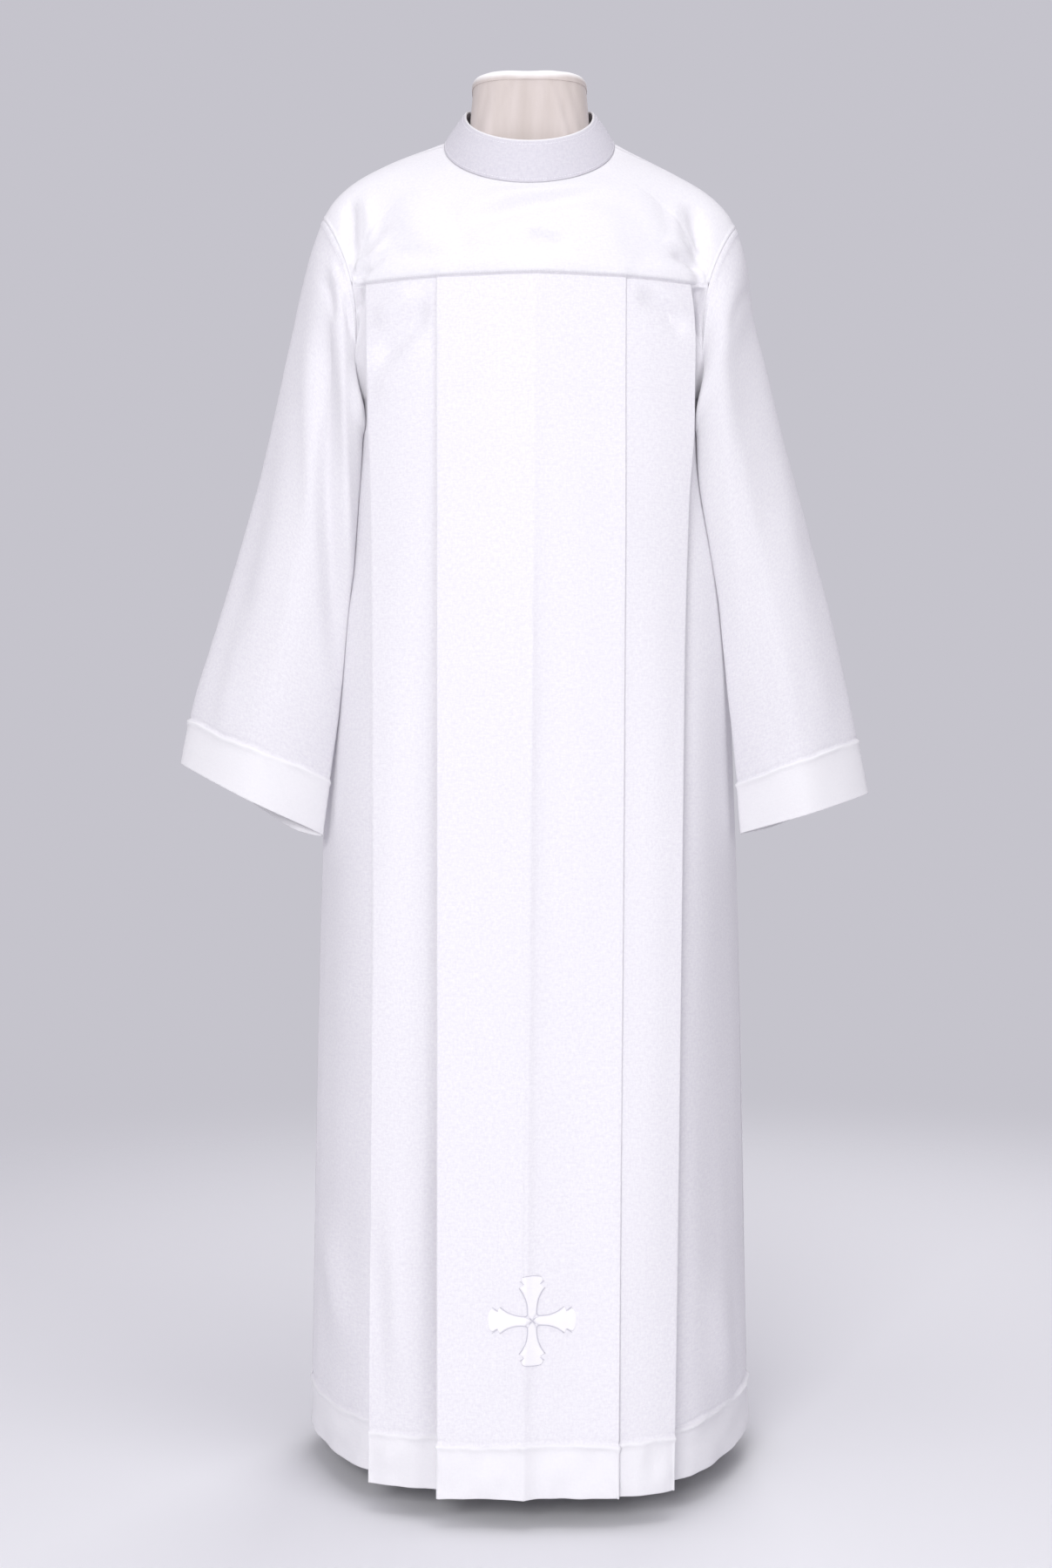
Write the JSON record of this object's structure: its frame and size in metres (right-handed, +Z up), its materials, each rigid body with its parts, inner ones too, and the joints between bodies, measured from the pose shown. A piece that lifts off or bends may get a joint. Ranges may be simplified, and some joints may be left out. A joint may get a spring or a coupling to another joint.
{
  "type": "alb robe on a limbless dress form",
  "caption": "White pleated alb with stand collar, yokes, wide sleeves, deep hems and a raised cross, on a dress form with pole and round base.",
  "frame": {"origin": "centre of the base's underside, on the floor", "axes": "+Z up the pole, -Y towards the front of the robe, +X towards the viewer's right"},
  "size_m": [0.7225, 0.4919, 1.441],
  "materials": {
    "collar_cloth": "matt fine plain weave, doubled and stiffened",
    "yoke_cloth": "matt fine plain weave",
    "panel_cloth": "matt fine plain weave, pressed pleats",
    "sleeve_cloth": "matt fine plain weave",
    "embroidery": "raised satin stitch with a soft sheen",
    "form_jersey": "fine jersey stretched over the form",
    "cap_cloth": "smooth white cover",
    "stand_metal": "satin light grey paint"
  },
  "bodies": {
    "root": {"collar": "collar_cloth", "yoke_front": "yoke_cloth", "yoke_back": "yoke_cloth", "front_panel": "panel_cloth", "back_panel": "panel_cloth", "sleeve_left": "sleeve_cloth", "sleeve_right": "sleeve_cloth", "cross": "embroidery", "dress_form": "form_jersey", "neck_cap": "cap_cloth", "pole": "stand_metal", "base": "stand_metal"}
  },
  "joints": []
}
